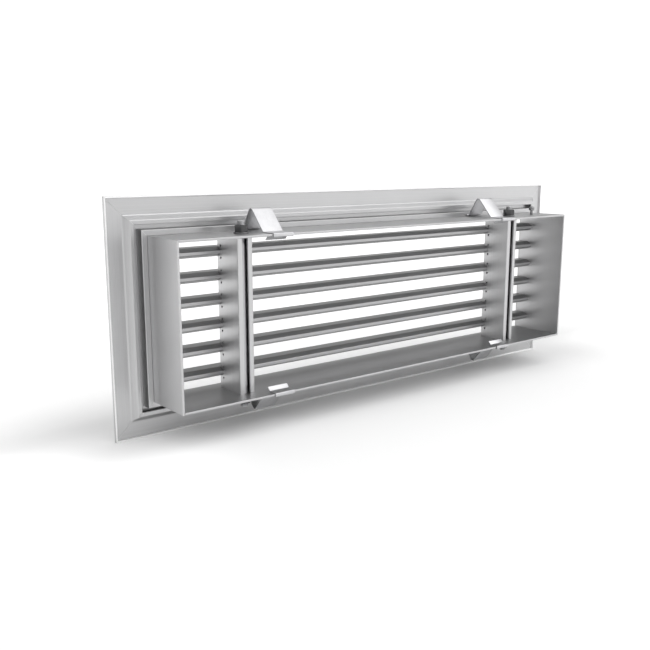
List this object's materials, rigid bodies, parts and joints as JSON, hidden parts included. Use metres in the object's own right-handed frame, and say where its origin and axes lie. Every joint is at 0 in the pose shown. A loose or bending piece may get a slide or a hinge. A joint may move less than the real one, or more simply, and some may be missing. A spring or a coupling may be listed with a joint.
{
  "type": "bar grille",
  "caption": "Rectangular flanged bar grille for an air opening, with fixed parallel bars, a rear collar, slotted mullions with tie rods, and bent spring clips.",
  "frame": {"origin": "middle of the plane that the rim of the flange rests on, which is the middle of the mouth of the duct opening", "axes": "+X along the bars, +Y out of the duct towards the room, +Z across the bars; the grille stands upright as in the picture, with the stud of the collar on its upper side"},
  "size_m": [0.434, 0.0488, 0.159],
  "materials": {
    "frame_extrusion": "satin natural anodised",
    "collar_sheet": "satin natural anodised sheet",
    "bar_extrusion": "satin natural anodised, drawn along its length",
    "mullion_extrusion": "semi-gloss natural anodised",
    "key_steel": "zinc plated, dull",
    "rod_steel": "zinc plated",
    "washer_steel": "dark zinc plated",
    "nut_steel": "dark zinc plated",
    "clip_steel": "bright polished spring strip",
    "stud_steel": "dark zinc plated"
  },
  "bodies": {
    "root": {"frame_top": "frame_extrusion", "frame_bottom": "frame_extrusion", "frame_left": "frame_extrusion", "frame_right": "frame_extrusion", "collar_top": "collar_sheet", "collar_bottom": "collar_sheet", "collar_left": "collar_sheet", "collar_right": "collar_sheet", "corner_key_top_left": "key_steel", "corner_key_top_right": "key_steel", "corner_key_bottom_left": "key_steel", "corner_key_bottom_right": "key_steel", "bar_1": "bar_extrusion", "bar_2": "bar_extrusion", "bar_3": "bar_extrusion", "bar_4": "bar_extrusion", "bar_5": "bar_extrusion", "bar_6": "bar_extrusion", "mullion_left": "mullion_extrusion", "tie_rod_left": "rod_steel", "mullion_right": "mullion_extrusion", "tie_rod_right": "rod_steel", "tie_rod_washers": "washer_steel", "tie_rod_nuts": "nut_steel", "spring_clip_top_left": "clip_steel", "spring_clip_top_right": "clip_steel", "spring_clip_bottom_left": "clip_steel", "spring_clip_bottom_right": "clip_steel", "locating_stud": "stud_steel"}
  },
  "joints": []
}
